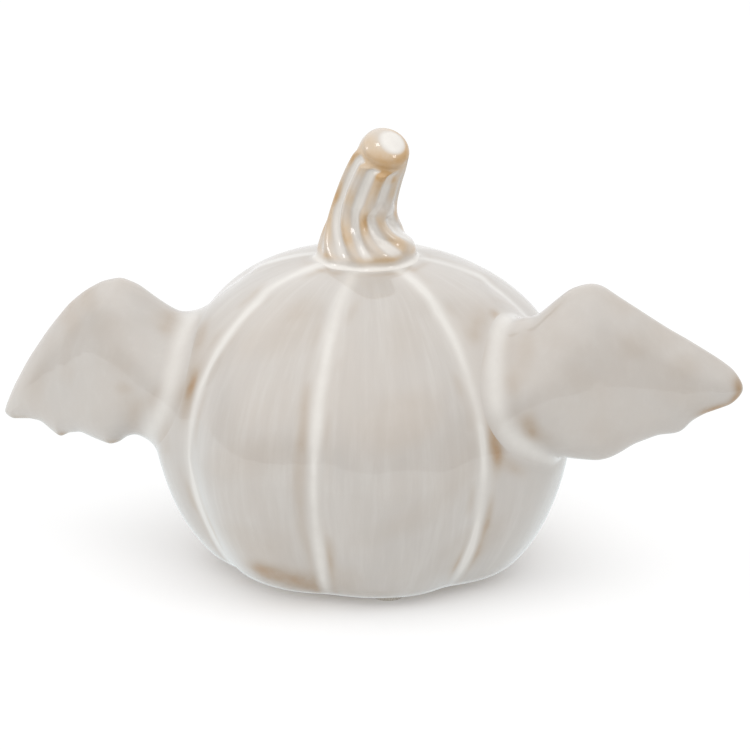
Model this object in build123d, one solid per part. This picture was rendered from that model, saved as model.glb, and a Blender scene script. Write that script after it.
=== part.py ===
from build123d import *
from math import cos, sin, pi, radians, sqrt
import os

# Ceramic pumpkin figure with a pair of bat wings, in millimetres.
# The origin is on the pumpkin's axis, on the surface that the figure stands on.
# +Z is up, the front groove faces -Y, and the right wing reaches towards +X.

# ---- felt pads under the foot ----
PAD_DIAMETER = 8.0
PAD_THICKNESS = 1.2
PAD_RING_RADIUS = 32.0
PAD_ANGLES = [25.0, 122.0, 207.0, 293.0]

# ---- pumpkin body ----
BODY_RADIUS = 56.0
CROWN_RISE = 46.7
BELLY_DROP = 42.0
CROWN_ROUNDNESS = (0.83, 1.04)
BELLY_ROUNDNESS = (0.475, 1.49)
LOWEST_LATITUDE = -58.5
CROWN_LATITUDE = 79.0
SECTION_COUNT = 14
FOOT_RADIUS = 38.0
FOOT_DROP = 34.9
GROOVE_ANGLES = [0.0, 49.0, 101.0, 143.5, 186.0, 228.5, 271.0, 315.0]
GROOVE_DEPTH = 0.055
GROOVE_HALF_WIDTH = 5.0
HALF_LOBE = 180.0 / len(GROOVE_ANGLES)
POINTS_PER_LOBE = 12
WALL = 4.5
EQUATOR_HEIGHT = PAD_THICKNESS + FOOT_DROP
FOOT_RECESS_RADIUS = 27.0
FOOT_RECESS_DEPTH = 1.2
VENT_DIAMETER = 3.5

# ---- stem: points on its axis, with heights about the equator, and its radius by share of the way up ----
STEM_AXIS = [
    (0.0, 0.0, 41.0),
    (0.0, 0.0, 48.0),
    (0.2, 0.0, 55.0),
    (0.9, 0.0, 63.0),
    (2.9, -0.8, 70.5),
    (5.6, -2.0, 77.5),
]
STEM_STATIONS = [
    (0.00, 12.8),
    (0.13, 13.6),
    (0.22, 12.0),
    (0.38, 9.6),
    (0.55, 8.3),
    (0.72, 7.7),
    (0.88, 7.1),
    (0.97, 5.8),
    (1.00, 3.4),
]
FLUTE_COUNT = 8
FLUTE_DEPTH = 0.10
FLUTE_TWIST = 75.0
TWIST_FADE = 2.0
POINTS_PER_FLUTE = 8

# ---- wings: reach from the axis, centre in Y, half thickness, top and bottom about the equator ----
LEFT_WING = [
    (33.0, -8.0, 23.0, 30.0, -1.0),
    (46.0, -11.0, 19.5, 31.3, -2.5),
    (53.0, -14.0, 13.0, 35.0, -4.5),
    (58.0, -15.8, 8.8, 38.2, -6.0),
    (64.0, -16.6, 6.0, 40.0, -8.0),
    (73.0, -12.5, 5.0, 35.2, -9.5),
    (82.0, -7.5, 4.6, 26.2, -10.5),
    (90.0, -4.0, 4.2, 14.8, -10.0),
    (96.0, -1.5, 3.5, 4.4, -9.0),
    (99.6, -0.3, 1.6, -2.5, -6.5),
]
RIGHT_WING = [
    (33.0, -8.0, 23.0, 36.0, -1.0),
    (46.0, -11.0, 19.5, 38.6, -1.5),
    (53.0, -14.0, 13.0, 44.0, -2.0),
    (58.0, -15.8, 8.8, 47.4, -2.0),
    (64.0, -16.6, 6.0, 48.4, -1.5),
    (73.0, -12.5, 5.0, 42.0, 1.0),
    (82.0, -7.5, 4.6, 35.2, 4.5),
    (90.0, -4.0, 4.2, 29.7, 9.0),
    (96.0, -1.5, 3.5, 25.3, 12.5),
    (99.6, -0.3, 1.6, 21.0, 17.0),
]
# Three scallops under each wing: each starts at a point, rises to a second and ends at the next point.
LEFT_SCALLOPS = [(46.0, -4.5), (57.5, -2.3), (64.8, -6.2), (73.5, -4.6), (81.4, -8.2), (89.5, -5.2), (98.6, -6.6)]
RIGHT_SCALLOPS = [(46.0, 0.0), (57.0, 1.2), (65.9, 1.4), (75.0, 5.9), (84.1, 7.6), (90.6, 13.0), (98.6, 15.9)]
POINTS_PER_WING_SECTION = 20
WING_BLOCK = 60.0


def body_outline(latitude, inset):
    """Radius and height about the equator of the round body, at a latitude in degrees."""
    angle = radians(latitude)
    rise, shape = (CROWN_RISE, CROWN_ROUNDNESS) if latitude >= 0 else (-BELLY_DROP, BELLY_ROUNDNESS)
    side = 1 if latitude >= 0 else -1
    radius = (BODY_RADIUS - inset) * cos(angle) ** shape[0]
    height = (rise - side * inset) * abs(sin(angle)) ** shape[1]
    return radius, height


def lobe_factor(share):
    """How far the surface comes in, by its place across a lobe: 0 and 1 are grooves."""
    from_groove = min(share, 1 - share) * 2 * HALF_LOBE
    reach = sqrt(from_groove**2 + GROOVE_HALF_WIDTH**2) - GROOVE_HALF_WIDTH
    full = sqrt(HALF_LOBE**2 + GROOVE_HALF_WIDTH**2) - GROOVE_HALF_WIDTH
    return 1 - GROOVE_DEPTH * (1 - reach / full) ** 2


def lobed_ring(radius, height):
    """Closed curve around the body at one height, dipping at each groove."""
    points = []
    for index, start in enumerate(GROOVE_ANGLES):
        end = GROOVE_ANGLES[index + 1] if index + 1 < len(GROOVE_ANGLES) else GROOVE_ANGLES[0] + 360
        for step in range(POINTS_PER_LOBE):
            share = step / POINTS_PER_LOBE
            angle = radians(start + share * (end - start))
            reach = radius * lobe_factor(share)
            points.append(Vector(reach * sin(angle), -reach * cos(angle), height))
    return Wire([Edge.make_spline(points, periodic=True)])


def lobed_solid(inset):
    """The lobed pumpkin form, shrunk all round by the inset."""
    lowest = LOWEST_LATITUDE + inset / 2
    highest = CROWN_LATITUDE - inset * 2
    rings = [lobed_ring(FOOT_RADIUS - inset, EQUATOR_HEIGHT - FOOT_DROP + inset)]
    for step in range(SECTION_COUNT):
        latitude = lowest + (highest - lowest) * step / (SECTION_COUNT - 1)
        radius, height = body_outline(latitude, inset)
        rings.append(lobed_ring(radius, EQUATOR_HEIGHT + height))
    return Solid.make_loft(rings)


def upright_cylinder(radius, bottom, top, x=0.0, y=0.0):
    return Pos(x, y, (bottom + top) / 2) * Cylinder(radius, top - bottom)


def pumpkin_body(outside):
    """Slip-cast shell: even wall, recessed foot and a small vent for the kiln."""
    hollow = lobed_solid(WALL)
    recess = upright_cylinder(FOOT_RECESS_RADIUS, 0, PAD_THICKNESS + FOOT_RECESS_DEPTH)
    vent = upright_cylinder(VENT_DIAMETER / 2, 0, EQUATOR_HEIGHT)
    return outside - hollow - recess - vent


def fluted_ring(plane, radius, turn):
    """Closed curve round the stem with its flutes turned by the given angle."""
    points = []
    for step in range(FLUTE_COUNT * POINTS_PER_FLUTE):
        angle = 2 * pi * step / (FLUTE_COUNT * POINTS_PER_FLUTE)
        reach = radius * (1 - FLUTE_DEPTH * (1 - cos(FLUTE_COUNT * (angle - turn))) / 2)
        points.append(plane.from_local_coords(Vector(reach * cos(angle), reach * sin(angle), 0)))
    return Wire([Edge.make_spline(points, periodic=True)])


def stem(outside):
    """Short twisted stem with a flared foot that sits on the crown."""
    line = Edge.make_spline([Vector(x, y, EQUATOR_HEIGHT + z) for x, y, z in STEM_AXIS])
    rings = []
    for share, radius in STEM_STATIONS:
        across = Vector(1, 0, 0)
        along = line % share
        plane = Plane(origin=line @ share, x_dir=across - along * across.dot(along), z_dir=along)
        turn = radians(FLUTE_TWIST) * (1 - share) ** TWIST_FADE
        rings.append(fluted_ring(plane, radius, turn))
    return Solid.make_loft(rings) - outside


def wing_ring(reach, centre, half_thickness, top, bottom, side):
    """Rounded section across a wing at one distance from the axis."""
    middle = EQUATOR_HEIGHT + (top + bottom) / 2
    half_height = (top - bottom) / 2
    points = []
    for step in range(POINTS_PER_WING_SECTION):
        angle = 2 * pi * step / POINTS_PER_WING_SECTION
        points.append(Vector(side * reach, centre + half_thickness * cos(angle), middle + half_height * sin(angle)))
    return Wire([Edge.make_spline(points, periodic=True)])


def scallop_tool(points, side):
    """Everything below the scalloped lower edge of a wing."""
    corners = [Vector(side * reach, 0, EQUATOR_HEIGHT + height) for reach, height in points]
    arcs = [ThreePointArc(*corners[start:start + 3]) for start in range(0, len(corners) - 1, 2)]
    low = Vector(0, 0, -WING_BLOCK)
    far = corners[-1] + Vector(side * WING_BLOCK, 0, 0)
    border = Polyline(corners[-1], far, far + low, corners[0] + low, corners[0])
    return extrude(make_face(arcs + [border]), WING_BLOCK, dir=(0, 1, 0), both=True)


def wing(stations, scallops, side, outside):
    """Thick at the root, thin at the blade, scalloped below, and fitted to the body."""
    blank = Solid.make_loft([wing_ring(*station, side) for station in stations])
    pieces = blank - outside - scallop_tool(scallops, side)
    return pieces.solids().sort_by(SortBy.VOLUME)[-1]


def felt_pads():
    for angle in PAD_ANGLES:
        x = PAD_RING_RADIUS * sin(radians(angle))
        y = -PAD_RING_RADIUS * cos(radians(angle))
        yield upright_cylinder(PAD_DIAMETER / 2, 0, PAD_THICKNESS, x, y)


outside = lobed_solid(0)
nodes = {
    "pumpkin_body": pumpkin_body(outside),
    "stem": stem(outside),
    "wing_left": wing(LEFT_WING, LEFT_SCALLOPS, -1, outside),
    "wing_right": wing(RIGHT_WING, RIGHT_SCALLOPS, 1, outside),
}
for number, pad in enumerate(felt_pads(), start=1):
    nodes[f"felt_pad_{number}"] = pad

os.makedirs("parts", exist_ok=True)
for name, shape in nodes.items():
    export_step(shape, f"parts/{name}.step")
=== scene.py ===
from math import cos, pi, radians, sin

import bpy
import numpy as np
from mathutils import Matrix, Vector
from mathutils.kdtree import KDTree

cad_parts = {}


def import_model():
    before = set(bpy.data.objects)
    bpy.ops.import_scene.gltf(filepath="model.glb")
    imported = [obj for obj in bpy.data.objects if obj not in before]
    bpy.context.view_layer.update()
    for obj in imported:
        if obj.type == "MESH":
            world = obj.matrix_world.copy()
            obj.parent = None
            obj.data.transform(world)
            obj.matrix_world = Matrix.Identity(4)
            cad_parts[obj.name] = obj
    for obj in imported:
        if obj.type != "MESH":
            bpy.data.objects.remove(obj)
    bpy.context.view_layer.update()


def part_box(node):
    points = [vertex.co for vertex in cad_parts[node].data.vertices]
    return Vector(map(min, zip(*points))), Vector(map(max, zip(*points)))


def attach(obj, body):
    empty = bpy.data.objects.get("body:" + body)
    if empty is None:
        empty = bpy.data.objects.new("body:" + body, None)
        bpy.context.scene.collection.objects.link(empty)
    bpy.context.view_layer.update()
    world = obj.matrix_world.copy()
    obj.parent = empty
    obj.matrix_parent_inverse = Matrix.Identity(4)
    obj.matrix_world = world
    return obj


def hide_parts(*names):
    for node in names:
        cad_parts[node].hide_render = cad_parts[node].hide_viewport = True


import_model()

# A glazed ceramic pumpkin figure with bat wings, with its stage, lights and camera.
# Shapes are worked out in millimetres, in the frame's axes, and become metres as each mesh is made.
MM = 0.001

# ---- small tools ----
RIPPLE_WAVES = 7
LINE_STEPS = 8
KERNEL_REACH = 3 * LINE_STEPS
CHUNK = 4000


def smooth_step(low, high, values):
    share = np.clip((values - low) / (high - low), 0, 1)
    return share * share * (3 - 2 * share)


def bump_at(values, middle, width):
    """1 at the middle, falling softly to 0 over the width on each side."""
    return np.exp(-(((values - middle) / width) ** 2))


def ripple(points, wavelength, seed):
    """Soft unevenness, about -1 to 1, from a few crossing waves."""
    random = np.random.default_rng(seed)
    total = np.zeros(points.shape[:-1])
    for _ in range(RIPPLE_WAVES):
        direction = random.normal(size=3)
        direction /= np.linalg.norm(direction)
        wave = wavelength * random.uniform(0.7, 1.5)
        total += np.sin(points @ direction * 2 * pi / wave + random.uniform(0, 2 * pi))
    return total / (RIPPLE_WAVES / 2)


def rounded_line(points, width):
    """A line through the points, as a function of the first value, with its corners rounded."""
    known, values = np.array(points, float).T
    step = width / LINE_STEPS
    fine = np.arange(known[0] - 4 * width, known[-1] + 4 * width, step)
    line = np.interp(fine, known, values)
    start_slope = (values[1] - values[0]) / (known[1] - known[0])
    end_slope = (values[-1] - values[-2]) / (known[-1] - known[-2])
    line += np.minimum(fine - known[0], 0) * start_slope + np.maximum(fine - known[-1], 0) * end_slope
    kernel = np.exp(-0.5 * (np.arange(-KERNEL_REACH, KERNEL_REACH + 1) / LINE_STEPS) ** 2)
    padded = np.pad(line, KERNEL_REACH, mode="reflect", reflect_type="odd")
    smooth = np.convolve(padded, kernel / kernel.sum(), mode="valid")
    return lambda reach: np.interp(reach, fine, smooth)


# ---- the pumpkin's body, from the frame ----
BODY_LOW, BODY_HIGH = (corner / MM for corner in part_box("pumpkin_body"))
CREST_OVER_HALF_WIDTH = 1.0247
BODY_RADIUS = CREST_OVER_HALF_WIDTH * (BODY_HIGH.x - BODY_LOW.x) / 2
EQUATOR_SHARE = 0.4325
FOOT_Z = BODY_LOW.z
EQUATOR_Z = FOOT_Z + EQUATOR_SHARE * (BODY_HIGH.z - BODY_LOW.z)
CROWN_RISE = 46.7
BELLY_DROP = 42.0
CROWN_ROUNDNESS = (0.83, 1.04)
BELLY_ROUNDNESS = (0.475, 1.49)
BELLY_LOWEST = -54.0
CROWN_HIGHEST = 88.5
GROOVES = np.array([0.0, 49.0, 101.0, 143.5, 186.0, 228.5, 271.0, 315.0])
GROOVE_DEPTH = 0.055
GROOVE_ROUND = 5.0
FOOT_EDGE = 35.0
FOOT_PULL = 3.6
BELLY_PULL = 3.2
FOOT_TURN_POINTS = 14
RECESS_RADIUS = 27.0
RECESS_DEPTH = 1.2
VENT_RADIUS = 1.75
VENT_LENGTH = 6.0
VENT_TAPER = 0.05
VENT_MOUTH = 0.4
SPOKES = 432
BODY_ROWS = 186

# ---- how the grooved body is measured ----
PROFILE_SAMPLES = 260
DENT_HEIGHT = 0.16
DENT_SIZE = 21.0


def profile_curve(latitudes):
    """Radius and height above the equator of the round body, by latitude in degrees."""
    angle = np.radians(latitudes)
    above = latitudes >= 0
    power_r = np.where(above, CROWN_ROUNDNESS[0], BELLY_ROUNDNESS[0])
    power_z = np.where(above, CROWN_ROUNDNESS[1], BELLY_ROUNDNESS[1])
    rise = np.where(above, CROWN_RISE, -BELLY_DROP)
    radius = BODY_RADIUS * np.clip(np.cos(angle), 1e-6, 1) ** power_r
    return np.stack([radius, rise * np.abs(np.sin(angle)) ** power_z], 1)


def bezier(start, pull_a, pull_b, end, count):
    """A smooth curve between two points, without its last point."""
    t = (np.arange(count) / count)[:, None]
    return (1 - t) ** 3 * start + 3 * t * (1 - t) ** 2 * pull_a + 3 * t**2 * (1 - t) * pull_b + t**3 * end


def body_profile():
    """The outside from the foot's edge, round the belly and up to the crown."""
    belly = profile_curve(np.linspace(BELLY_LOWEST, CROWN_HIGHEST, PROFILE_SAMPLES))
    foot = np.array([FOOT_EDGE, FOOT_Z - EQUATOR_Z])
    along = belly[1] - belly[0]
    along /= np.linalg.norm(along)
    turn = bezier(foot, foot + [FOOT_PULL, 0], belly[0] - along * BELLY_PULL, belly[0], FOOT_TURN_POINTS)
    return np.vstack([turn, belly])


PROFILE = body_profile()
MEASURED = np.vstack([PROFILE[:-1:2], PROFILE[-1:]])


def lobe_depth(degrees):
    """How far the surface comes in, as a share of its radius, and the angle to the nearest groove."""
    ends = np.append(GROOVES[1:], GROOVES[0] + 360)
    angle = np.mod(degrees - GROOVES[0], 360) + GROOVES[0]
    index = np.clip(np.searchsorted(GROOVES, angle, side="right") - 1, 0, len(GROOVES) - 1)
    width = (ends - GROOVES)[index]
    from_start = angle - GROOVES[index]
    nearest = np.minimum(from_start, width - from_start)
    reach = np.hypot(nearest, GROOVE_ROUND) - GROOVE_ROUND
    full = np.hypot(width / 2, GROOVE_ROUND) - GROOVE_ROUND
    return GROOVE_DEPTH * (1 - reach / full) ** 2, nearest


def dent(points):
    """The hand-finished clay's unevenness, in millimetres outwards."""
    return DENT_HEIGHT * ripple(points, DENT_SIZE, 3)


def body_distance(points):
    """About how far each point is outside the grooved body: negative inside."""
    degrees = np.degrees(np.arctan2(points[:, 0], -points[:, 1]))
    depth, _ = lobe_depth(degrees)
    radius = np.hypot(points[:, 0], points[:, 1]) / (1 - depth)
    flat = np.stack([radius, points[:, 2] - EQUATOR_Z], 1)
    a, b = MEASURED[:-1], MEASURED[1:]
    span = b - a
    length2 = (span**2).sum(1)
    out = np.empty(len(flat))
    for low in range(0, len(flat), CHUNK):
        part = flat[low:low + CHUNK]
        t = ((part[:, None] - a) * span).sum(2) / length2
        nearest = a + np.clip(t, 0, 1)[..., None] * span
        away = part[:, None] - nearest
        gap = np.hypot(away[..., 0], away[..., 1])
        best = gap.argmin(1)
        row = np.arange(len(part))
        side = span[best, 0] * away[row, best, 1] - span[best, 1] * away[row, best, 0]
        out[low:low + CHUNK] = np.where(side < 0, gap[row, best], -gap[row, best])
    return out - dent(points)


def body_normal(points):
    """The direction in which the distance from the body grows."""
    step = 0.05
    here = body_distance(points)
    grad = np.stack([body_distance(points + step * axis) - here for axis in np.eye(3)], 1)
    return grad / np.linalg.norm(grad, axis=1)[:, None]


# ---- meshes ----
def closed_piece(name, rings, first, last, marks, material):
    """A closed mesh of rings of points with a point at each end. Marks are values kept on its vertices."""
    rows, columns = rings.shape[:2]
    points = np.vstack([rings.reshape(-1, 3), [first, last]])
    column = np.arange(columns)
    after = (column + 1) % columns
    faces = []
    for row in range(rows - 1):
        here, above = row * columns, (row + 1) * columns
        faces += np.stack([here + column, here + after, above + after, above + column], 1).tolist()
    start, end, top = rows * columns, rows * columns + 1, (rows - 1) * columns
    faces += np.stack([np.full(columns, start), after, column], 1).tolist()
    faces += np.stack([np.full(columns, end), top + column, top + after], 1).tolist()
    mesh = bpy.data.meshes.new(name)
    mesh.from_pydata((points * MM).tolist(), [], faces)
    for mark, values in marks.items():
        flat = values.reshape(rows * columns, -1)
        flat = np.vstack([flat, flat[:1], flat[-1:]]).astype(np.float32).ravel()
        if mark == "flow":
            mesh.attributes.new(mark, "FLOAT_VECTOR", "POINT").data.foreach_set("vector", flat)
        else:
            mesh.attributes.new(mark, "FLOAT", "POINT").data.foreach_set("value", flat)
    mesh.polygons.foreach_set("use_smooth", [True] * len(mesh.polygons))
    if signed_volume(points, rings.shape[:2]) < 0:
        mesh.flip_normals()
    mesh.materials.append(material)
    piece = bpy.data.objects.new(name, mesh)
    bpy.context.scene.collection.objects.link(piece)
    return piece


def signed_volume(points, grid):
    """About six times the volume inside the rings, negative when their faces look inwards."""
    rings = points[:-2].reshape(*grid, 3)
    here, after = rings[:-1], np.roll(rings, -1, axis=1)[:-1]
    above, beyond = rings[1:], np.roll(rings, -1, axis=1)[1:]
    total = np.einsum("ijk,ijk->", here, np.cross(after, beyond))
    return total + np.einsum("ijk,ijk->", here, np.cross(beyond, above))


def keep(piece, node):
    """The piece stands for a node of the frame and moves with it."""
    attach(piece, "root")
    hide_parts(node)


# ---- pieces luted to the body ----
def surface_normal(surface, share, turn):
    """Outward direction of a tube-like surface, which is away from the opposite side of the tube."""
    step = 1e-3
    along = surface(share + step, turn) - surface(share - step, turn)
    around = surface(share, turn + step) - surface(share, turn - step)
    normal = np.cross(around, along)
    across = surface(share, turn) - surface(share, turn + pi)
    normal *= np.sign((normal * across).sum(-1, keepdims=True))
    return normal / np.maximum(np.linalg.norm(normal, axis=-1, keepdims=True), 1e-9)


SEARCH_SHARES = np.linspace(0, 1, 420)
CORRECTIONS = 3
# How deep each ring of the skirt is inside the body, and how far it stands out past the fillet.
SUNK_RINGS = [(3.0, 1.6), (0.9, 1.9), (0.14, 1.5), (0.02, 0.6)]


def shares_outside(surface, turns):
    """A function that gives, at each turn, where the surface is so far outside the body."""
    field = surface(SEARCH_SHARES[:, None], turns[None, :])
    gap = body_distance(field.reshape(-1, 3)).reshape(field.shape[:2])

    def share_at(distance):
        shares = []
        for column, wanted in enumerate(distance):
            inside = np.nonzero(gap[:, column] < 0)[0]
            low = inside[-1] if len(inside) else 0
            rising = np.maximum.accumulate(gap[low:, column])
            shares.append(np.interp(wanted, rising, SEARCH_SHARES[low:]))
        return np.array(shares)

    return share_at


def luted_rings(surface, turns, fillet, fillet_steps, outer_shares):
    """Rings of a piece that grows out of the body: a sunk skirt, a round fillet, then its own surface.
    The fillet's radius is given for each turn. Also returned are the share along the piece at each point,
    and the crease, where the two surfaces would meet."""
    share_at = shares_outside(surface, turns)
    steps = [(np.full(len(turns), -depth), fillet + beyond) for depth, beyond in SUNK_RINGS]
    for angle in np.linspace(0, pi / 2, fillet_steps):
        steps.append((fillet * (1 - cos(angle)), fillet * (1 - sin(angle))))
    rows, shares = [], []
    for distance, offset in steps:
        share = share_at(np.maximum(distance, 0))
        shares.append(share)
        points = surface(share, turns)
        away = body_normal(points)
        outwards = surface_normal(surface, share, turns)
        outwards -= (outwards * away).sum(1, keepdims=True) * away
        outwards /= np.maximum(np.linalg.norm(outwards, axis=1, keepdims=True), 1e-9)
        points = points + offset[:, None] * outwards
        for _ in range(CORRECTIONS if offset.max() > 0.01 else 0):
            points = points + (distance - body_distance(points))[:, None] * body_normal(points)
        rows.append(points)
    start = share_at(fillet)
    for outer in outer_shares[1:]:
        shares.append(start + (1 - start) * outer)
        rows.append(surface(shares[-1], turns))
    return np.stack(rows), np.stack(shares), surface(share_at(np.zeros(len(turns))), turns)


def distance_to(line, points):
    """Distance of each point from the nearest of a line's closely spaced points."""
    tree = KDTree(len(line))
    for index, point in enumerate(line):
        tree.insert(point, index)
    tree.balance()
    flat = points.reshape(-1, 3)
    return np.array([tree.find(point)[2] for point in flat]).reshape(points.shape[:-1])


# ---- the wings: a blade on a thick root, as reach from the axis against height about the equator ----
WING_START = 33.0
LEFT_TIP, RIGHT_TIP = -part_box("wing_left")[0].x / MM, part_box("wing_right")[1].x / MM
LEFT_TOP = [
    (33, 27.5), (43, 28.7), (49, 30.3), (54.4, 33.6), (59.3, 36.8), (64, 38.1), (69.5, 36.2),
    (74.8, 32.7), (80.2, 27.8), (86.3, 20.0), (92.5, 10.7), (96.2, 3.8), (98.9, -1),
]
LEFT_BOTTOM = [
    (33, -1), (46, -2.6), (55.4, -2.8), (58, -2.4), (60.4, -3.1), (62.2, -4.8), (64.8, -5.9), (70, -5.3),
    (74.3, -4.7), (78.7, -6.1), (81.4, -8), (84.1, -6.8), (87.6, -4.9), (91.2, -5.0), (98, -6.6),
]
RIGHT_TOP = [
    (33, 32.5), (47.5, 37.0), (51.4, 40.8), (56, 44.9), (61.1, 46.7), (64.2, 46.4),
    (68.2, 43.6), (73.2, 40.3), (81.3, 34.4), (89.8, 29.2), (94, 26.4), (97.5, 23.5),
]
RIGHT_BOTTOM = [
    (33, -1), (46, -0.2), (57, 1.6), (61.6, 1.7), (65.9, 1.6), (68.5, 2.2), (70.8, 3.4), (74.1, 5.6),
    (79.7, 7.6), (84.1, 7.8), (85.8, 8.6), (87.4, 10.8), (90.7, 12.8), (94.3, 14.0), (97.7, 15.2),
]
HALF_THICKNESS = [
    (33, 23), (46, 19.5), (53, 13), (58, 8.8), (64, 6), (73, 5), (82, 4.6), (90, 4.2), (99.6, 3.2),
]
CENTRE_Y = [
    (33, -8), (46, -11), (53, -14), (58, -15.8), (64, -16.6), (73, -12.5), (82, -7.5), (90, -4), (99.6, -0.5),
]
TOP_LEANS_BACK = 0.13
BOWED = 0.0055
LEAN_STARTS = (44, 60)
ROOT_TOP_THINNER = 0.30
THINS_TOWARDS_TOP = (-0.8, 1.2)
PILLOW = 0.28
EDGE_WIDTH = 6.5
EDGE_POWER = 2.1
TIP_ROUND = 3.4
BLADE_STARTS = (50.0, 66.0)
OUTLINE_FROM = 38.0
OUTLINE_SAMPLES = 360
WING_TURNS = 224
WING_ROWS = 190


class Wing:
    """The surface of one wing, by its share of the way to the tip and the angle round it."""

    def __init__(self, side, tip, top, bottom):
        self.side = side
        self.tip = tip
        self.top = rounded_line(top, 1.2)
        self.bottom = rounded_line(bottom, 0.7)
        self.half_thickness = rounded_line(HALF_THICKNESS, 2.0)
        self.centre_y = rounded_line(CENTRE_Y, 2.5)
        along = self.reach(np.linspace(0, 1, OUTLINE_SAMPLES))
        upper, lower = self.heights(along)
        shown = along > OUTLINE_FROM
        self.outline = np.vstack([
            np.stack([along, upper], 1)[shown],
            np.stack([along, lower], 1)[shown][::-1],
        ])

    def reach(self, share):
        """Distance from the axis, with the shares closer together towards the tip."""
        return WING_START + (self.tip - WING_START) * np.sin(np.clip(share, -1, 1) * pi / 2)

    def heights(self, reach):
        """Top and bottom edge at a reach, drawn together round the tip."""
        upper, lower = self.top(reach), self.bottom(reach)
        past = np.clip((reach - self.tip + TIP_ROUND) / TIP_ROUND, 0, 1)
        half = (upper - lower) / 2 * np.sqrt(1 - past**2)
        middle = (upper + lower) / 2
        return middle + half, middle - half

    def edge_distance(self, reach, height):
        """Distance inwards from the wing's outline, seen from the front."""
        flat = np.stack([reach.ravel(), height.ravel()], 1)
        a, b = self.outline[:-1], self.outline[1:]
        span = b - a
        length2 = np.maximum((span**2).sum(1), 1e-12)
        out = np.empty(len(flat))
        for low in range(0, len(flat), CHUNK):
            part = flat[low:low + CHUNK]
            t = np.clip(((part[:, None] - a) * span).sum(2) / length2, 0, 1)
            away = part[:, None] - a - t[..., None] * span
            out[low:low + CHUNK] = np.hypot(away[..., 0], away[..., 1]).min(1)
        return out.reshape(reach.shape)

    def __call__(self, share, turn):
        """Points of the surface, in millimetres."""
        share, turn = np.broadcast_arrays(share, turn)
        reach = self.reach(share)
        upper, lower = self.heights(reach)
        middle, half = (upper + lower) / 2, (upper - lower) / 2
        height = middle + half * np.sin(turn)
        inwards = np.clip(self.edge_distance(reach, height) / EDGE_WIDTH, 0, 1)
        blade_edge = (1 - (1 - inwards) ** EDGE_POWER) ** (1 / EDGE_POWER)
        round_edge = np.abs(np.cos(turn))
        pillow = 1 - PILLOW + PILLOW * round_edge
        blade = smooth_step(*BLADE_STARTS, reach)
        thickness = self.half_thickness(reach) * ((1 - blade) * round_edge + blade * blade_edge * pillow)
        thickness *= 1 - ROOT_TOP_THINNER * (1 - blade) * smooth_step(*THINS_TOWARDS_TOP, np.sin(turn))
        above = height - middle
        lean = (TOP_LEANS_BACK + BOWED * above) * smooth_step(*LEAN_STARTS, reach) * above
        y = self.centre_y(reach) + lean - np.sign(np.cos(turn)) * thickness
        return np.stack([self.side * reach, y, EQUATOR_Z + height], -1)


# ---- the stem, with heights about the equator ----
STEM_FOOT = 37.0
END_DOME = 3.4
STEM_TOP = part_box("stem")[1].z / MM - EQUATOR_Z - END_DOME - 0.2
STEM_AXIS_X = [
    (37, 0), (46, -0.2), (49, -1.0), (52, -1.5), (56, -1.5),
    (60, -1.0), (64, 0.1), (68, 1.5), (72, 3.2), (77, 5.7),
]
STEM_AXIS_Y = [(37, 0), (55, 0), (63, -0.3), (70, -1.0), (77, -2.2)]
STEM_RADIUS = [
    (37, 12.9), (45, 13.2), (47, 13.2), (49, 12.8), (52, 11.4), (55, 9.9),
    (58, 8.8), (61, 8.2), (65, 7.9), (69, 7.6), (73, 7.2), (77, 6.9),
]
FLUTES = 8
FLUTE_DEPTH = 0.17
FLUTE_PHASE = 0.35
FLUTES_AT_FOOT = 0.12
FLUTES_DEEPEN = (47.5, 53)
TWIST = radians(100)
TWIST_BELOW = 61.0
KINK_HEIGHT = 61.0
KINK_AZIMUTH = 55.0
KINK_HALF_WIDTH = 48.0
KINK_SHALLOW = 2.4
END_NORMAL = np.array([0.42, -0.50, 0.757])
END_STARTS = 0.80
END_FLAT = 0.91
FLUTES_END = 0.84
END_ROUNDNESS = 0.9
RIM_NARROWS = 0.10
STEM_TURNS = 256
STEM_ROWS = 190


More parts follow.
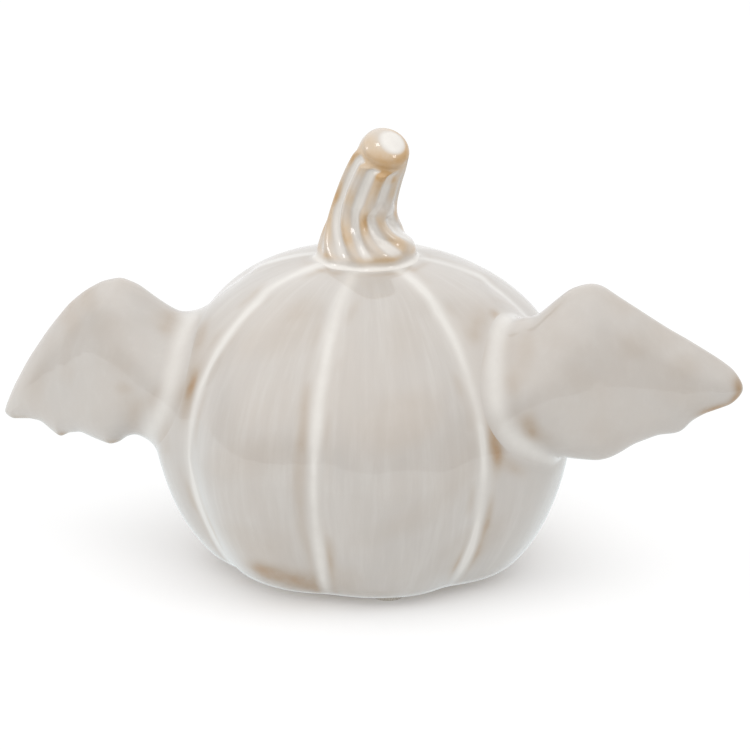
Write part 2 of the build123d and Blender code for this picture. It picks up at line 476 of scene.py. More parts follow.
class Stem:
    """The surface of the twisted stem, by its share of the way up and the angle round it."""

    def __init__(self):
        self.axis_x = rounded_line(STEM_AXIS_X, 3.0)
        self.axis_y = rounded_line(STEM_AXIS_Y, 3.0)
        self.radius = rounded_line(STEM_RADIUS, 1.6)

    def axis(self, height):
        return np.stack([self.axis_x(height), self.axis_y(height), EQUATOR_Z + height], -1)

    def flute(self, height, turn):
        """1 on a ridge, -1 in a groove, and how deep the flutes are there. They step aside at the kink."""
        fallen = np.clip((TWIST_BELOW - height) / (TWIST_BELOW - STEM_FOOT), 0, 1)
        azimuth = np.degrees(np.angle(np.exp(1j * (turn + pi / 2)))) - KINK_AZIMUTH
        beside = np.exp(-((azimuth / KINK_HALF_WIDTH) ** 4))
        half_flute = pi / FLUTES * beside * smooth_step(KINK_HEIGHT + 1.5, KINK_HEIGHT - 2.5, height)
        ridge = np.cos(FLUTES * (turn - FLUTE_PHASE - TWIST * fallen**1.5 + half_flute))
        depth = 1 - 0.9 * beside * bump_at(height, KINK_HEIGHT, KINK_SHALLOW)
        depth = depth * (FLUTES_AT_FOOT + (1 - FLUTES_AT_FOOT) * smooth_step(*FLUTES_DEEPEN, height))
        return ridge, depth

    def end_share(self, share):
        return np.clip((share - END_STARTS) / (END_FLAT - END_STARTS), 0, 1)

    def __call__(self, share, turn):
        """Points of the surface, in millimetres. The end is a low dome that looks along END_NORMAL."""
        share, turn = np.broadcast_arrays(share, turn)
        height = STEM_FOOT + (STEM_TOP - STEM_FOOT) * np.minimum(share / END_FLAT, 1)
        centre = self.axis(height)
        along = self.axis(height + 0.5) - self.axis(height - 0.5)
        along /= np.linalg.norm(along, axis=-1, keepdims=True)
        to_end = smooth_step(END_STARTS, END_FLAT, share)[..., None]
        up = along * (1 - to_end) + END_NORMAL / np.linalg.norm(END_NORMAL) * to_end
        up /= np.linalg.norm(up, axis=-1, keepdims=True)
        across = np.array([1.0, 0, 0]) - up * up[..., :1]
        across /= np.linalg.norm(across, axis=-1, keepdims=True)
        beside = np.cross(up, across)
        ridge, depth = self.flute(height, turn)
        past = np.clip((share - END_FLAT) / (1 - END_FLAT), 0, 1)
        fade = 1 - smooth_step(FLUTES_END, END_FLAT, share)
        reach = self.radius(height) * (1 - FLUTE_DEPTH * depth * fade * (1 - ridge) / 2)
        shrink = np.cos(past * pi / 2) ** END_ROUNDNESS
        rim = 1 - RIM_NARROWS * self.end_share(share) ** 3
        rise = END_DOME * np.sin(past * pi / 2)
        flat = np.cos(turn)[..., None] * across + np.sin(turn)[..., None] * beside
        return centre + flat * (reach * shrink * rim)[..., None] + up * rise[..., None]


# ---- materials ----
GLAZE_WARM = (0.500, 0.459, 0.417)
GLAZE_COOL = (0.480, 0.450, 0.418)
GLAZE_PALE = (0.545, 0.518, 0.484)
GLAZE_ROSY = (0.460, 0.418, 0.384)
TAN = (0.395, 0.318, 0.245)
BROWN = (0.330, 0.195, 0.085)
STEM_TAN = (0.490, 0.385, 0.275)
STEM_BROWN = (0.430, 0.265, 0.115)
POOL_WHITE = (0.655, 0.628, 0.588)
BISQUE = (0.720, 0.650, 0.560)
BISQUE_DARK = (0.600, 0.520, 0.430)
FELT = (0.560, 0.520, 0.460)
FELT_PALE = (0.700, 0.665, 0.610)


def glaze_colour(tree, mottle, cloud, streak, tan, brown):
    """White glaze that thins to tan on edges and pools pale in creases, from the marks kept on the mesh. The
    tan also gives painted shade at the body's foot, and the white a painted highlight on the stem's end.
    """
    pool, thin, streaky = attribute(tree, "pool"), attribute(tree, "thin"), attribute(tree, "streaky")
    base = mix(tree, scaled(tree, cloud, 0.32, 0.68), GLAZE_WARM, GLAZE_COOL)
    light = math_node(tree, "MULTIPLY", scaled(tree, streak, 0.48, 0.84), streaky)
    dark = math_node(tree, "MULTIPLY", scaled(tree, streak, 0.46, 0.24, 0.0, 0.55), streaky)
    base = mix(tree, dark, mix(tree, light, base, GLAZE_PALE), GLAZE_ROSY)
    uneven = math_node(tree, "MULTIPLY_ADD", mottle, 1.5, 0.25)
    worn = math_node(tree, "MULTIPLY", thin, uneven)
    colour = mix(tree, scaled(tree, worn, 0.0, 1.0), base, tan)
    colour = mix(tree, scaled(tree, worn, 0.95, 1.9), colour, brown)
    filled = math_node(tree, "MULTIPLY", pool, math_node(tree, "MULTIPLY_ADD", mottle, 0.9, 0.5))
    return mix(tree, scaled(tree, filled, 0.05, 1.0), colour, POOL_WHITE)


def new_material(name):
    material = bpy.data.materials.new(name)
    material.use_nodes = True
    return material, material.node_tree, material.node_tree.nodes["Principled BSDF"]


def attribute(tree, name, output="Fac"):
    node = tree.nodes.new("ShaderNodeAttribute")
    node.attribute_name = name
    return node.outputs[output]


def noise(tree, vector, scale, detail=3.0, roughness=0.5):
    node = tree.nodes.new("ShaderNodeTexNoise")
    node.inputs["Scale"].default_value = scale
    node.inputs["Detail"].default_value = detail
    node.inputs["Roughness"].default_value = roughness
    tree.links.new(vector, node.inputs["Vector"])
    return node.outputs["Fac"]


def scaled(tree, value, low, high, out_low=0.0, out_high=1.0):
    """The value, with low to high spread over out_low to out_high and held there beyond them."""
    node = tree.nodes.new("ShaderNodeMapRange")
    for socket, number in zip(node.inputs[1:5], (low, high, out_low, out_high)):
        socket.default_value = number
    tree.links.new(value, node.inputs[0])
    return node.outputs[0]


def math_node(tree, operation, *values):
    node = tree.nodes.new("ShaderNodeMath")
    node.operation = operation
    for socket, value in zip(node.inputs, values):
        if isinstance(value, float):
            socket.default_value = value
        else:
            tree.links.new(value, socket)
    return node.outputs[0]


def mix(tree, share, first, second):
    node = tree.nodes.new("ShaderNodeMix")
    node.data_type = "RGBA"
    tree.links.new(share, node.inputs["Factor"])
    colour_a, colour_b = node.inputs[6], node.inputs[7]
    for socket, value in ((colour_a, first), (colour_b, second)):
        if isinstance(value, tuple):
            socket.default_value = (*value, 1.0)
        else:
            tree.links.new(value, socket)
    return node.outputs[2]


def bump(tree, height, distance, onto=None):
    """Small relief, its distance in metres, on top of another relief where one is given."""
    node = tree.nodes.new("ShaderNodeBump")
    node.inputs["Distance"].default_value = distance
    node.inputs["Strength"].default_value = 1.0
    tree.links.new(height, node.inputs["Height"])
    if onto:
        tree.links.new(onto, node.inputs["Normal"])
    return node.outputs["Normal"]


def glaze_material(name, cloud_size, streaks, tan, brown):
    """Glossy off-white glaze over clay. The cloud size is in millimetres, and streaks is their fineness."""
    material, tree, shader = new_material(name)
    place = tree.nodes.new("ShaderNodeTexCoord").outputs["Object"]
    flow = attribute(tree, "flow", "Vector")
    cloud = noise(tree, place, 1000 / cloud_size, 4.0, 0.55)
    mottle = noise(tree, place, 130.0, 6.0, 0.6)
    streak = noise(tree, flow, streaks, 5.0, 0.65)
    tree.links.new(glaze_colour(tree, mottle, cloud, streak, tan, brown), shader.inputs["Base Color"])
    tree.links.new(scaled(tree, mottle, 0.3, 0.7, 0.30, 0.42), shader.inputs["Roughness"])
    shader.inputs["Specular IOR Level"].default_value = 0.35
    shader.inputs["Coat Weight"].default_value = 1.0
    shader.inputs["Coat Roughness"].default_value = 0.02
    shader.inputs["Coat IOR"].default_value = 1.5
    soft = bump(tree, noise(tree, place, 95.0, 2.0), 0.00012)
    fine = bump(tree, noise(tree, place, 620.0, 2.0), 0.000010, onto=soft)
    tree.links.new(fine, shader.inputs["Normal"])
    tree.links.new(soft, shader.inputs["Coat Normal"])
    return material


def bisque_material():
    """Bare fired clay: matte, faintly speckled and gritty."""
    material, tree, shader = new_material("bisque")
    place = tree.nodes.new("ShaderNodeTexCoord").outputs["Object"]
    grit = noise(tree, place, 900.0, 4.0, 0.7)
    cloud = noise(tree, place, 60.0, 4.0)
    colour = mix(tree, scaled(tree, cloud, 0.35, 0.65), BISQUE, BISQUE_DARK)
    colour = mix(tree, scaled(tree, grit, 0.62, 0.72), colour, BISQUE_DARK)
    tree.links.new(colour, shader.inputs["Base Color"])
    tree.links.new(scaled(tree, grit, 0.3, 0.7, 0.75, 0.95), shader.inputs["Roughness"])
    tree.links.new(bump(tree, grit, 0.00008), shader.inputs["Normal"])
    return material


def felt_material():
    """Pressed wool felt: tangled fibres, pale fluff on darker wool."""
    material, tree, shader = new_material("felt")
    place = tree.nodes.new("ShaderNodeTexCoord").outputs["Object"]
    wave = tree.nodes.new("ShaderNodeTexWave")
    wave.inputs["Scale"].default_value = 520.0
    wave.inputs["Distortion"].default_value = 14.0
    wave.inputs["Detail"].default_value = 4.0
    tree.links.new(place, wave.inputs["Vector"])
    fibre = math_node(tree, "MULTIPLY", wave.outputs["Fac"], noise(tree, place, 1500.0, 5.0, 0.7))
    colour = mix(tree, scaled(tree, fibre, 0.1, 0.5), FELT, FELT_PALE)
    colour = mix(tree, scaled(tree, noise(tree, place, 300.0), 0.4, 0.7, 0.0, 0.5), colour, FELT)
    tree.links.new(colour, shader.inputs["Base Color"])
    tree.links.new(scaled(tree, fibre, 0.0, 0.6, 0.97, 0.85), shader.inputs["Roughness"])
    shader.inputs["Specular IOR Level"].default_value = 0.1
    shader.inputs["Sheen Weight"].default_value = 0.5
    shader.inputs["Sheen Roughness"].default_value = 0.5
    tree.links.new(bump(tree, fibre, 0.00015), shader.inputs["Normal"])
    return material


bisque = bisque_material()
body_glaze = glaze_material("body_glaze", 26.0, 0.24, TAN, BROWN)
wing_glaze = glaze_material("wing_glaze", 26.0, 0.42, TAN, BROWN)
stem_glaze = glaze_material("stem_glaze", 9.0, 0.60, STEM_TAN, STEM_BROWN)


# ---- the wings and the stem ----
def patches(first, second, spots):
    """Adds up soft oval spots, each with its place, its half sizes and its strength."""
    total = np.zeros(first.shape)
    for at_first, at_second, half_first, half_second, strength in spots:
        away = ((first - at_first) / half_first) ** 2 + ((second - at_second) / half_second) ** 2
        total += strength * np.exp(-(away**1.3))
    return total


# Glaze breaks on the wings: reach, height, half reach, half height and strength.
LEFT_SPOTS = [(80, 27, 6, 4.5, 0.55), (73, 32, 5, 3, 0.4), (59, 12.5, 2.5, 1.6, 0.3), (88, 9, 5, 6, 0.15)]
RIGHT_SPOTS = [(47, 30, 3, 5, 0.35), (50, 12, 2, 5, 0.55), (76, 33, 6, 4, 0.25), (86, 26, 5, 3, 0.2)]
LEFT_EDGE_BREAKS = [(92, -6, 5.5, 2.0, 1.3), (64.2, -5, 2.2, 2.6, 1.7), (80.6, -7.2, 3.4, 1.8, 1.4)]
RIGHT_EDGE_BREAKS = [(93.5, 15, 5.0, 3.0, 2.3), (98.2, 18.5, 1.6, 3.6, 1.8), (66, 1.8, 5, 1.6, 0.5)]
# Joints: the fillet's radius in front, behind and at the wing's edges, the width of the white that pools in
# the crease, and how far from the crease the glaze breaks to tan on the body.
LEFT_JOINT = {"front": 5.5, "back": 6.0, "edge": 5.0, "white": 2.8, "tan": 7.5}
RIGHT_JOINT = {"front": 4.0, "back": 5.0, "edge": 2.4, "white": 2.6, "tan": 6.4}
STEM_JOINT = {"white": 1.3, "tan": 3.2}
BLADE_UNEVEN = 0.22
WING_STREAKS = 0.45


def wing_piece(name, wing, joint, spots, edge_breaks):
    turns = np.linspace(0, 2 * pi, WING_TURNS, endpoint=False)
    facing = np.cos(turns)
    fillet = joint["edge"] + (np.where(facing > 0, joint["front"], joint["back"]) - joint["edge"]) * facing**2
    outer = np.linspace(0, 0.992, WING_ROWS)
    rings, _, crease = luted_rings(wing, turns, fillet, 14, outer)
    reach, height = rings[..., 0] * wing.side, rings[..., 2] - EQUATOR_Z
    blade = smooth_step(46, 60, reach)[..., None]
    rings = rings + blade * np.array([0, BLADE_UNEVEN, 0]) * ripple(rings, 17.0, 11)[..., None]
    from_crease = distance_to(crease, rings)
    uneven = ripple(rings, 14.0, 5)
    pool = 0.95 * np.exp(-((from_crease / joint["white"]) ** 2))
    near_edge = np.exp(-((wing.edge_distance(reach, height) / 1.5) ** 2)) * smooth_step(46, 54, reach)
    thin = patches(reach, height, spots) + 0.16 * np.clip(uneven, 0, 1)
    thin += near_edge * (0.12 + patches(reach, height, edge_breaks))
    thin *= smooth_step(0.3 * joint["white"], 1.2 * joint["white"], from_crease)
    thin += 0.35 * bump_at(from_crease, 2.1 * joint["white"], 2.4) * np.clip(uneven + 0.4, 0, 1)
    flow = np.stack([0.5 * reach, rings[..., 1], 0.35 * height], -1)
    last = (rings[-1].min(0) + rings[-1].max(0)) / 2
    last[0] = wing.side * wing.tip
    marks = {"pool": pool, "thin": thin, "flow": flow, "streaky": np.full(pool.shape, WING_STREAKS)}
    return closed_piece(name, rings, rings[0].mean(0), last, marks, wing_glaze), crease


left_wing = Wing(-1, LEFT_TIP, LEFT_TOP, LEFT_BOTTOM)
right_wing = Wing(1, RIGHT_TIP, RIGHT_TOP, RIGHT_BOTTOM)
left_piece, left_crease = wing_piece("left_wing", left_wing, LEFT_JOINT, LEFT_SPOTS, LEFT_EDGE_BREAKS)
right_piece, right_crease = wing_piece("right_wing", right_wing, RIGHT_JOINT, RIGHT_SPOTS, RIGHT_EDGE_BREAKS)
keep(left_piece, "wing_left")
keep(right_piece, "wing_right")

STEM_FILLET = 1.1
STEM_STREAKS = 0.6
# The turn towards which the white of the stem's end reaches further: a painted highlight on its lit side.
END_HIGHLIGHT_TURN = radians(35)
RIM_TAN_TURN = radians(-20)
FLOW_TWIST = 0.02
# Glaze breaks on the stem: azimuth, height, half azimuth, half height and strength.
STEM_SPOTS = [
    (35, 70.5, 22, 1.6, 2.1), (48, 68.5, 12, 1.4, 1.8), (20, 57.5, 10, 3.0, 0.8), (-62, 63, 10, 3, 0.8),
    (-50, 47.0, 14, 1.5, 0.6), (30, 47.0, 22, 1.4, 0.5), (70, 51, 9, 2, 0.6),
]


def stem_piece(name, stem):
    turns = np.linspace(0, 2 * pi, STEM_TURNS, endpoint=False)
    outer = np.linspace(0, 0.997, STEM_ROWS)
    rings, along, crease = luted_rings(stem, turns, np.full(STEM_TURNS, STEM_FILLET), 9, outer)
    height = rings[..., 2] - EQUATOR_Z
    ridge, depth = stem.flute(height, np.broadcast_to(turns, height.shape))
    from_crease = distance_to(crease, rings)
    uneven = ripple(rings, 9.0, 8)
    past = np.clip((along - END_FLAT) / (1 - END_FLAT), 0, 1)
    # The end face is white: pooled glaze, with a painted highlight that reaches further on the lit side.
    end_pool_and_highlight = smooth_step(0.56, 0.80, past + 0.12 * np.cos(turns - END_HIGHLIGHT_TURN))
    rim = smooth_step(END_FLAT - 0.05, END_FLAT + 0.005, along) * (1 - end_pool_and_highlight)
    body = 1 - smooth_step(END_FLAT - 0.05, END_FLAT, along)
    ridged = smooth_step(-0.35, 0.55, ridge) * depth
    across = rings[..., :2] - stem.axis(height)[..., :2]
    azimuth = np.degrees(np.arctan2(across[..., 0], -across[..., 1]))
    thin = body * (0.10 + ridged * (0.85 + 0.6 * uneven) + patches(azimuth, height, STEM_SPOTS))
    thin += rim * (1.25 + 0.5 * uneven + 0.3 * np.cos(turns - RIM_TAN_TURN))
    thin += 0.9 * bump_at(from_crease, 2.6, 0.9) * (0.7 + 0.5 * uneven)
    thin = thin * (1 - 0.9 * end_pool_and_highlight)
    pool = body * smooth_step(0.05, -0.8, ridge) * (0.30 + 0.5 * depth) + end_pool_and_highlight
    in_crease = 1.1 * np.exp(-((from_crease / STEM_JOINT["white"]) ** 2))
    pool = np.maximum(pool * smooth_step(1.5, 4.0, from_crease), in_crease)
    twisted = turns + FLOW_TWIST * height
    flow = np.stack([0.3 * height, 8 * np.cos(twisted), 8 * np.sin(twisted)], -1)
    marks = {"pool": pool, "thin": thin, "flow": flow, "streaky": np.full(pool.shape, STEM_STREAKS)}
    last = stem(np.array(1.0), np.array(0.0))
    return closed_piece(name, rings, rings[0].mean(0), last, marks, stem_glaze), crease


stem_object, stem_crease = stem_piece("stem_top", Stem())
keep(stem_object, "stem")

# ---- the body ----
# Glaze breaks on the body: azimuth, height, half azimuth, half height and strength.
BODY_SPOTS = [
    (-19, -27.5, 8, 3.6, 1.5), (-7, -29.5, 6, 3.6, 1.0), (-3.8, 6, 2.0, 15, 0.5), (52.3, -11, 1.3, 6, 0.8),
    (-49.0, 15, 2.6, 7, 0.7), (53.2, 9, 2.2, 7, 1.2), (75, 35.2, 3.2, 1.8, 1.4), (60.5, 11, 1.8, 4, 0.4),
    (-42, 33, 4, 6, 0.25), (8, -27, 6, 4, 0.3), (28, 36, 9, 5, 0.15), (-16, 40, 8, 2.5, 0.3),
]
# Radius and height above the foot's plane, from the vent's mouth over the recess and its rounded edge.
FOOT_FLAT = [
    (2.2, RECESS_DEPTH - 0.05), (8, RECESS_DEPTH), (17, RECESS_DEPTH), (RECESS_RADIUS - 1.4, RECESS_DEPTH),
    (RECESS_RADIUS - 0.4, RECESS_DEPTH - 0.15), (RECESS_RADIUS, RECESS_DEPTH / 2), (RECESS_RADIUS + 0.2, 0.2),
    (RECESS_RADIUS + 0.7, 0.0), (29, 0.0), (32, 0.0), (34, 0.0),
]
LOBES_START = 28
STREAK_LENGTH = 0.14
BARE_BELOW = 9


def lobe_spokes():
    """Angles round the body in degrees, closer together near each groove."""
    count = SPOKES // len(GROOVES)
    share = np.arange(count) / count
    share = share - 0.55 * np.sin(2 * pi * share) / (2 * pi)
    widths = np.diff(np.append(GROOVES, GROOVES[0] + 360))
    return (GROOVES[:, None] + share * widths[:, None]).ravel()


def body_piece(name):
    spokes = lobe_spokes()
    depth, nearest = lobe_depth(spokes)
    arc = np.concatenate([[0], np.cumsum(np.hypot(*np.diff(PROFILE, axis=0).T))])
    even = np.linspace(0, arc[-1], BODY_ROWS)
    outside = np.stack([np.interp(even, arc, PROFILE[:, axis]) for axis in (0, 1)], 1)
    floor = FOOT_Z - EQUATOR_Z
    vent = [(VENT_RADIUS - VENT_TAPER, RECESS_DEPTH + VENT_LENGTH), (VENT_RADIUS, RECESS_DEPTH + VENT_MOUTH)]
    under = np.array([(radius, floor + height) for radius, height in vent + FOOT_FLAT])
    profile = np.vstack([under, outside])
    radius, height = profile[:, :1], profile[:, 1:]
    lobed = 1 - depth * smooth_step(LOBES_START, FOOT_EDGE, radius)
    angle = np.radians(spokes)
    rings = np.stack([radius * lobed * np.sin(angle), -radius * lobed * np.cos(angle),
                      EQUATOR_Z + height + 0 * angle], -1)
    across = np.roll(rings, -1, axis=1) - np.roll(rings, 1, axis=1)
    along = np.gradient(rings, axis=0)
    normal = np.cross(across, along)
    normal /= np.maximum(np.linalg.norm(normal, axis=-1, keepdims=True), 1e-9)
    swelling = smooth_step(len(under), len(under) + 8, np.arange(len(profile)))[:, None]
    rings = rings + (dent(rings) * swelling)[..., None] * normal
    marks = body_marks(rings, radius, height, angle, nearest, np.concatenate([np.zeros(len(under)), even]))
    first = np.array([0, 0, rings[0, 0, 2]])
    last = np.array([0, 0, rings[-1, 0, 2]])
    piece = closed_piece(name, rings, first, last, marks, body_glaze)
    piece.data.materials.append(bisque)
    bare_faces = (len(under) - 1) * SPOKES
    for polygon in piece.data.polygons:
        level = abs(polygon.normal.z) > 0.99
        if polygon.index < bare_faces or level and polygon.center.z < (FOOT_Z + BARE_BELOW) * MM:
            polygon.material_index = 1
    return piece


def body_marks(rings, radius, height, angle, nearest, arc):
    """White pools in the grooves and joints. Tan breaks beside them and in patches, and a tan band at the
    foot's edge that is thin glaze and painted shade where the body turns under.
    """
    from_groove = np.radians(nearest) * radius
    azimuth = (np.degrees(angle) + 180) % 360 - 180 + 0 * height
    upright = height + 0 * angle
    uneven, drift = ripple(rings, 26.0, 21), ripple(rings, 13.0, 22)
    wide = 1.25 + 0.4 * drift + 0.5 * smooth_step(0, 35, upright)
    pool = np.exp(-((from_groove / wide) ** 2)) * (0.8 + 0.25 * uneven)
    pool += 0.22 * np.exp(-((from_groove / 4.5) ** 2))
    pool *= smooth_step(-36, -27, upright)
    shoulder = bump_at(from_groove, 3.6, 1.5) * np.clip(drift + 0.1, 0, 1)
    thin = 0.45 * shoulder + patches(azimuth, upright, BODY_SPOTS) + 0.20 * np.clip(uneven, 0, 1)
    # Tan at the foot's edge: thin glaze, and painted shade where the body turns under towards the floor.
    thin += 0.45 * bump_at(upright, -33.5, 2.0)
    thin += 0.7 * bump_at(from_groove, 2.7, 1.0) * smooth_step(-8, -24, upright) * (0.6 + 0.4 * drift)
    streaky = 1 + 0 * pool
    for crease, joint in ((left_crease, LEFT_JOINT), (right_crease, RIGHT_JOINT), (stem_crease, STEM_JOINT)):
        white, tan = joint["white"], joint["tan"]
        gap = distance_to(crease, rings)
        streaky *= smooth_step(2, 14, gap)
        pool = np.maximum(pool, 0.95 * np.exp(-((gap / white) ** 2)))
        thin = thin * smooth_step(0.3 * white, 1.2 * white, gap)
        thin += 0.45 * bump_at(gap, tan, 0.3 * tan) * np.clip(drift + 0.5, 0, 1.1)
    flow = np.stack([BODY_RADIUS * np.cos(angle) + 0 * height, BODY_RADIUS * np.sin(angle) + 0 * height,
                     STREAK_LENGTH * arc[:, None] + 0 * angle], -1)
    return {"pool": pool, "thin": thin, "flow": flow, "streaky": streaky}


keep(body_piece("pumpkin"), "pumpkin_body")

# ---- felt pads ----
PAD_SPOKES = 72
PAD_ROUND = 0.25
PAD_FUZZ = 0.012
FACE_SHARES = (0.25, 0.5, 0.75, 0.92)
SIDE_SHARES = (0.4, 0.55, 0.7)


def felt_pad(name, node, seed):
    """A round pad cut from felt, with soft corners and a slightly fuzzy outline."""
    low, high = (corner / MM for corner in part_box(node))
    centre = (low + high) / 2
    outer, thick = (high.x - low.x) / 2, high.z - low.z
    inner = outer - PAD_ROUND
    bends = np.linspace(0, pi / 2, 5)
    section = [(share * inner, 0.0) for share in FACE_SHARES]
    section += [(inner + PAD_ROUND * sin(bend), PAD_ROUND * (1 - cos(bend))) for bend in bends]
    section += [(outer, thick * share) for share in SIDE_SHARES]
    section += [(inner + PAD_ROUND * cos(bend), thick - PAD_ROUND * (1 - sin(bend))) for bend in bends]
    section += [(share * inner, thick) for share in reversed(FACE_SHARES)]
    section = np.array(section)
    angle = np.linspace(0, 2 * pi, PAD_SPOKES, endpoint=False)
    random = np.random.default_rng(seed)
    fuzz = 1 - PAD_FUZZ * random.random((len(section), PAD_SPOKES))
    reach = section[:, :1] * fuzz
    rings = np.stack([centre.x + reach * np.cos(angle), centre.y + reach * np.sin(angle),
                      low.z + section[:, 1:] + 0 * angle], -1)
    first = np.array([centre.x, centre.y, low.z])
    last = np.array([centre.x, centre.y, high.z])
    piece = closed_piece(name, rings, first, last, {}, felt)
    keep(piece, node)


felt = felt_material()
for number in range(1, 5):
    felt_pad(f"pad_{number}", f"felt_pad_{number}", number)

# ---- floor, light and camera, in metres ----
FLOOR_RADIUS = 4.0
FLOOR_PALE = (0.93, 0.93, 0.93)
FLOOR_FAR = (0.27, 0.27, 0.27)
FLOOR_GLOW = 0.74
FLOOR_GLOW_FROM = (0.020, 0.085)
TABLE_COLOUR = (0.92, 0.98, 1.0, 1.0)
TABLE_FRONT = 0.53
TABLE_BACK = 0.20
TABLE_LEFT = 0.60
TABLE_RIGHT = 0.33
TABLE_HEIGHT = 0.0002
TABLE_GLOW = 0.90
CAMERA_AZIMUTH = radians(14.55)
CAMERA_ELEVATION = radians(18.28)
CAMERA_DISTANCE = 1.300
CAMERA_LENS = 238.0
CAMERA_ROLL = radians(0.45)
AIM_RIGHT = 0.00212
AIM_UP = 0.01306
# Soft lights that gloss doesn't show: azimuth, elevation, distance, width, height and radiance.
SOFTBOXES = {
    "overhead": (20, 75, 1.5, 1.5, 1.2, 0.85),
    "left_side": (-54, 18, 1.4, 0.7, 0.9, 2.0),
    "right_side": (78, 48, 1.4, 0.6, 0.8, 1.5),
}
# Small lights that only the stem receives, for the glints in its glaze: azimuth and elevation.
SPARKS = {"spark_left": (-66, 34), "spark_right": (70, 30), "spark_top": (20, 76)}
SPARK_DISTANCE = 1.3
SPARK_SIZE = 0.22
SPARK_RADIANCE = 8.0
WHITE_LEVEL = 1.02
DIFFUSE_LEVEL = 0.88
GLOSSY_LEVEL = 1.5
BACKDROP_LEVEL = 0.66
# How bright glossy rays see the studio, from 0 straight down to 1 straight up.
STUDIO_LEVELS = [(0.0, 0.35), (0.44, 0.26), (0.50, 0.20), (0.56, 0.27), (0.68, 0.80), (0.80, 0.95)]


def flat_piece(name, corners, height, material):
    """A level plate of the stage."""
    mesh = bpy.data.meshes.new(name)
    mesh.from_pydata([(x, y, height) for x, y in corners], [], [list(range(len(corners)))])
    mesh.materials.append(material)
    piece = bpy.data.objects.new(name, mesh)
    bpy.context.scene.collection.objects.link(piece)
    return piece


def floor_material():
    """Pale paper that glows more and more away from the figure, so that its shadow stays faint."""
    material, tree, shader = new_material("floor_paper")
    place = tree.nodes.new("ShaderNodeTexCoord").outputs["Object"]
    cloud = noise(tree, place, 6.0)
    reach = tree.nodes.new("ShaderNodeVectorMath")
    reach.operation = "LENGTH"
    tree.links.new(place, reach.inputs[0])
    away = scaled(tree, reach.outputs["Value"], *FLOOR_GLOW_FROM)
    paper = mix(tree, cloud, FLOOR_PALE, tuple(0.985 * c for c in FLOOR_PALE))
    tree.links.new(mix(tree, away, paper, FLOOR_FAR), shader.inputs["Base Color"])
    shader.inputs["Emission Color"].default_value = (1, 1, 1, 1)
    tree.links.new(math_node(tree, "MULTIPLY", away, FLOOR_GLOW), shader.inputs["Emission Strength"])
    shader.inputs["Roughness"].default_value = 1.0
    shader.inputs["Specular IOR Level"].default_value = 0.0
    return material


def glow_material(name, strength):
    material, _, shader = new_material(name)
    shader.inputs["Base Color"].default_value = (0, 0, 0, 1)
    shader.inputs["Emission Color"].default_value = TABLE_COLOUR
    shader.inputs["Emission Strength"].default_value = strength
    return material


def stage():
    """A pale floor, and a glowing table top that only glossy rays see."""
    around = np.linspace(0, 2 * pi, 96, endpoint=False)
    disc = [(FLOOR_RADIUS * cos(a), FLOOR_RADIUS * sin(a)) for a in around]
    floor = flat_piece("floor", disc, 0.0, floor_material())
    floor.visible_glossy = False
    forward = Vector((sin(CAMERA_AZIMUTH), -cos(CAMERA_AZIMUTH)))
    aside = Vector((cos(CAMERA_AZIMUTH), sin(CAMERA_AZIMUTH)))
    corners = [
        forward * reach + aside * width
        for reach, width in ((TABLE_FRONT, -TABLE_LEFT), (TABLE_FRONT, TABLE_RIGHT),
                             (-TABLE_BACK, TABLE_RIGHT), (-TABLE_BACK, -TABLE_LEFT))
    ]
    table = flat_piece("table_reflection", corners, TABLE_HEIGHT, glow_material("table_glow", TABLE_GLOW))
    table.visible_camera = False
    table.visible_diffuse = False
    table.visible_transmission = False
    table.visible_shadow = False


def softbox(name, azimuth, elevation, distance, width, height, radiance, reflected):
    """A rectangular light that looks at the figure. The camera never sees it, and gloss only if reflected."""
    light = bpy.data.lights.new(name, "AREA")
    light.shape = "RECTANGLE"
    light.size, light.size_y = width, height
    light.energy = radiance * pi * width * height
    lamp = bpy.data.objects.new(name, light)
    bpy.context.scene.collection.objects.link(lamp)
    a, e = radians(azimuth), radians(elevation)
    target = Vector((0, 0, EQUATOR_Z * MM))
    lamp.location = target + distance * Vector((sin(a) * cos(e), -cos(a) * cos(e), sin(e)))
    lamp.rotation_euler = (target - lamp.location).to_track_quat("-Z", "Y").to_euler()
    lamp.visible_camera = False
    lamp.visible_glossy = reflected
    return lamp


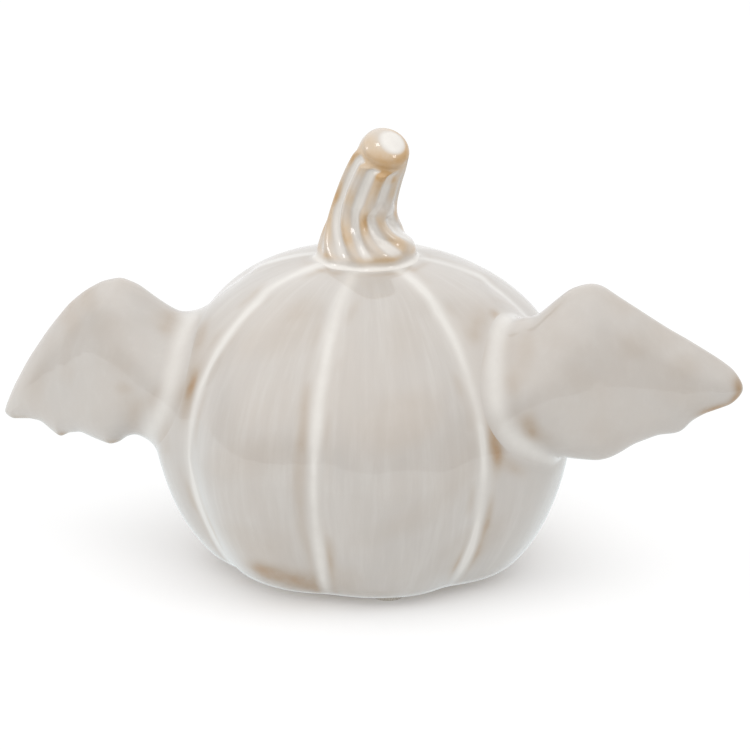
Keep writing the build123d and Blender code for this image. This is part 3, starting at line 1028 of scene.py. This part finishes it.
def world():
    """White round the stage. Glossy rays see a studio, dull at the horizon and bright overhead and behind."""
    sky = bpy.data.worlds.new("studio")
    bpy.context.scene.world = sky
    sky.use_nodes = True
    tree = sky.node_tree
    background = tree.nodes["Background"]
    background.inputs["Color"].default_value = (1, 1, 1, 1)
    path = tree.nodes.new("ShaderNodeLightPath")
    split = tree.nodes.new("ShaderNodeSeparateXYZ")
    tree.links.new(tree.nodes.new("ShaderNodeTexCoord").outputs["Generated"], split.inputs[0])
    ramp = tree.nodes.new("ShaderNodeValToRGB")
    tree.links.new(scaled(tree, split.outputs["Z"], -1.0, 1.0), ramp.inputs["Fac"])
    stops = ramp.color_ramp.elements
    stops[0].position, stops[1].position = STUDIO_LEVELS[0][0], STUDIO_LEVELS[-1][0]
    for position, _ in STUDIO_LEVELS[1:-1]:
        stops.new(position)
    for stop, (position, level) in zip(stops, STUDIO_LEVELS):
        stop.position = position
        stop.color = (level, level, level, 1)
    ahead = math_node(tree, "SUBTRACT", math_node(tree, "MULTIPLY", split.outputs["X"], sin(CAMERA_AZIMUTH)),
                      math_node(tree, "MULTIPLY", split.outputs["Y"], cos(CAMERA_AZIMUTH)))
    above = scaled(tree, split.outputs["Z"], -0.50, -0.20)
    behind = math_node(tree, "MULTIPLY", above, scaled(tree, ahead, -0.05, -0.45, 0.0, BACKDROP_LEVEL))
    seen = math_node(tree, "MAXIMUM", ramp.outputs["Color"], behind)
    seen = math_node(tree, "MULTIPLY", seen, GLOSSY_LEVEL)
    glossy = math_node(tree, "MULTIPLY", path.outputs["Is Glossy Ray"], seen)
    other = math_node(tree, "SUBTRACT", 1.0, path.outputs["Is Glossy Ray"])
    spread = math_node(tree, "MULTIPLY", other, DIFFUSE_LEVEL)
    camera = math_node(tree, "MULTIPLY", path.outputs["Is Camera Ray"], WHITE_LEVEL - DIFFUSE_LEVEL)
    total = math_node(tree, "ADD", math_node(tree, "ADD", glossy, spread), camera)
    tree.links.new(total, background.inputs["Strength"])


def camera():
    """The eye at the figure's front right, a little above it, with a long lens."""
    a, e = CAMERA_AZIMUTH, CAMERA_ELEVATION
    back = Vector((sin(a) * cos(e), -cos(a) * cos(e), sin(e)))
    right = Vector((cos(a), sin(a), 0))
    up = back.cross(right)
    middle = Vector((0, 0, EQUATOR_Z * MM))
    eye = bpy.data.objects.new("camera", bpy.data.cameras.new("camera"))
    bpy.context.scene.collection.objects.link(eye)
    eye.data.lens = CAMERA_LENS
    eye.data.sensor_width = 36.0
    eye.data.clip_start = 0.05
    eye.data.clip_end = 50.0
    eye.location = middle + CAMERA_DISTANCE * back
    target = middle + right * AIM_RIGHT + up * AIM_UP
    look = (target - eye.location).to_track_quat("-Z", "Y").to_matrix().to_4x4()
    eye.rotation_euler = (look @ Matrix.Rotation(CAMERA_ROLL, 4, "Z")).to_euler()
    bpy.context.scene.camera = eye


def lights():
    for name, values in SOFTBOXES.items():
        softbox(name, *values, False)
    glints = bpy.data.collections.new("glints")
    glints.objects.link(stem_object)
    for name, (azimuth, elevation) in SPARKS.items():
        size = (SPARK_SIZE, SPARK_SIZE)
        spark = softbox(name, azimuth, elevation, SPARK_DISTANCE, *size, SPARK_RADIANCE, True)
        spark.light_linking.receiver_collection = glints


stage()
lights()
world()
camera()
bpy.context.scene.view_settings.view_transform = "Standard"
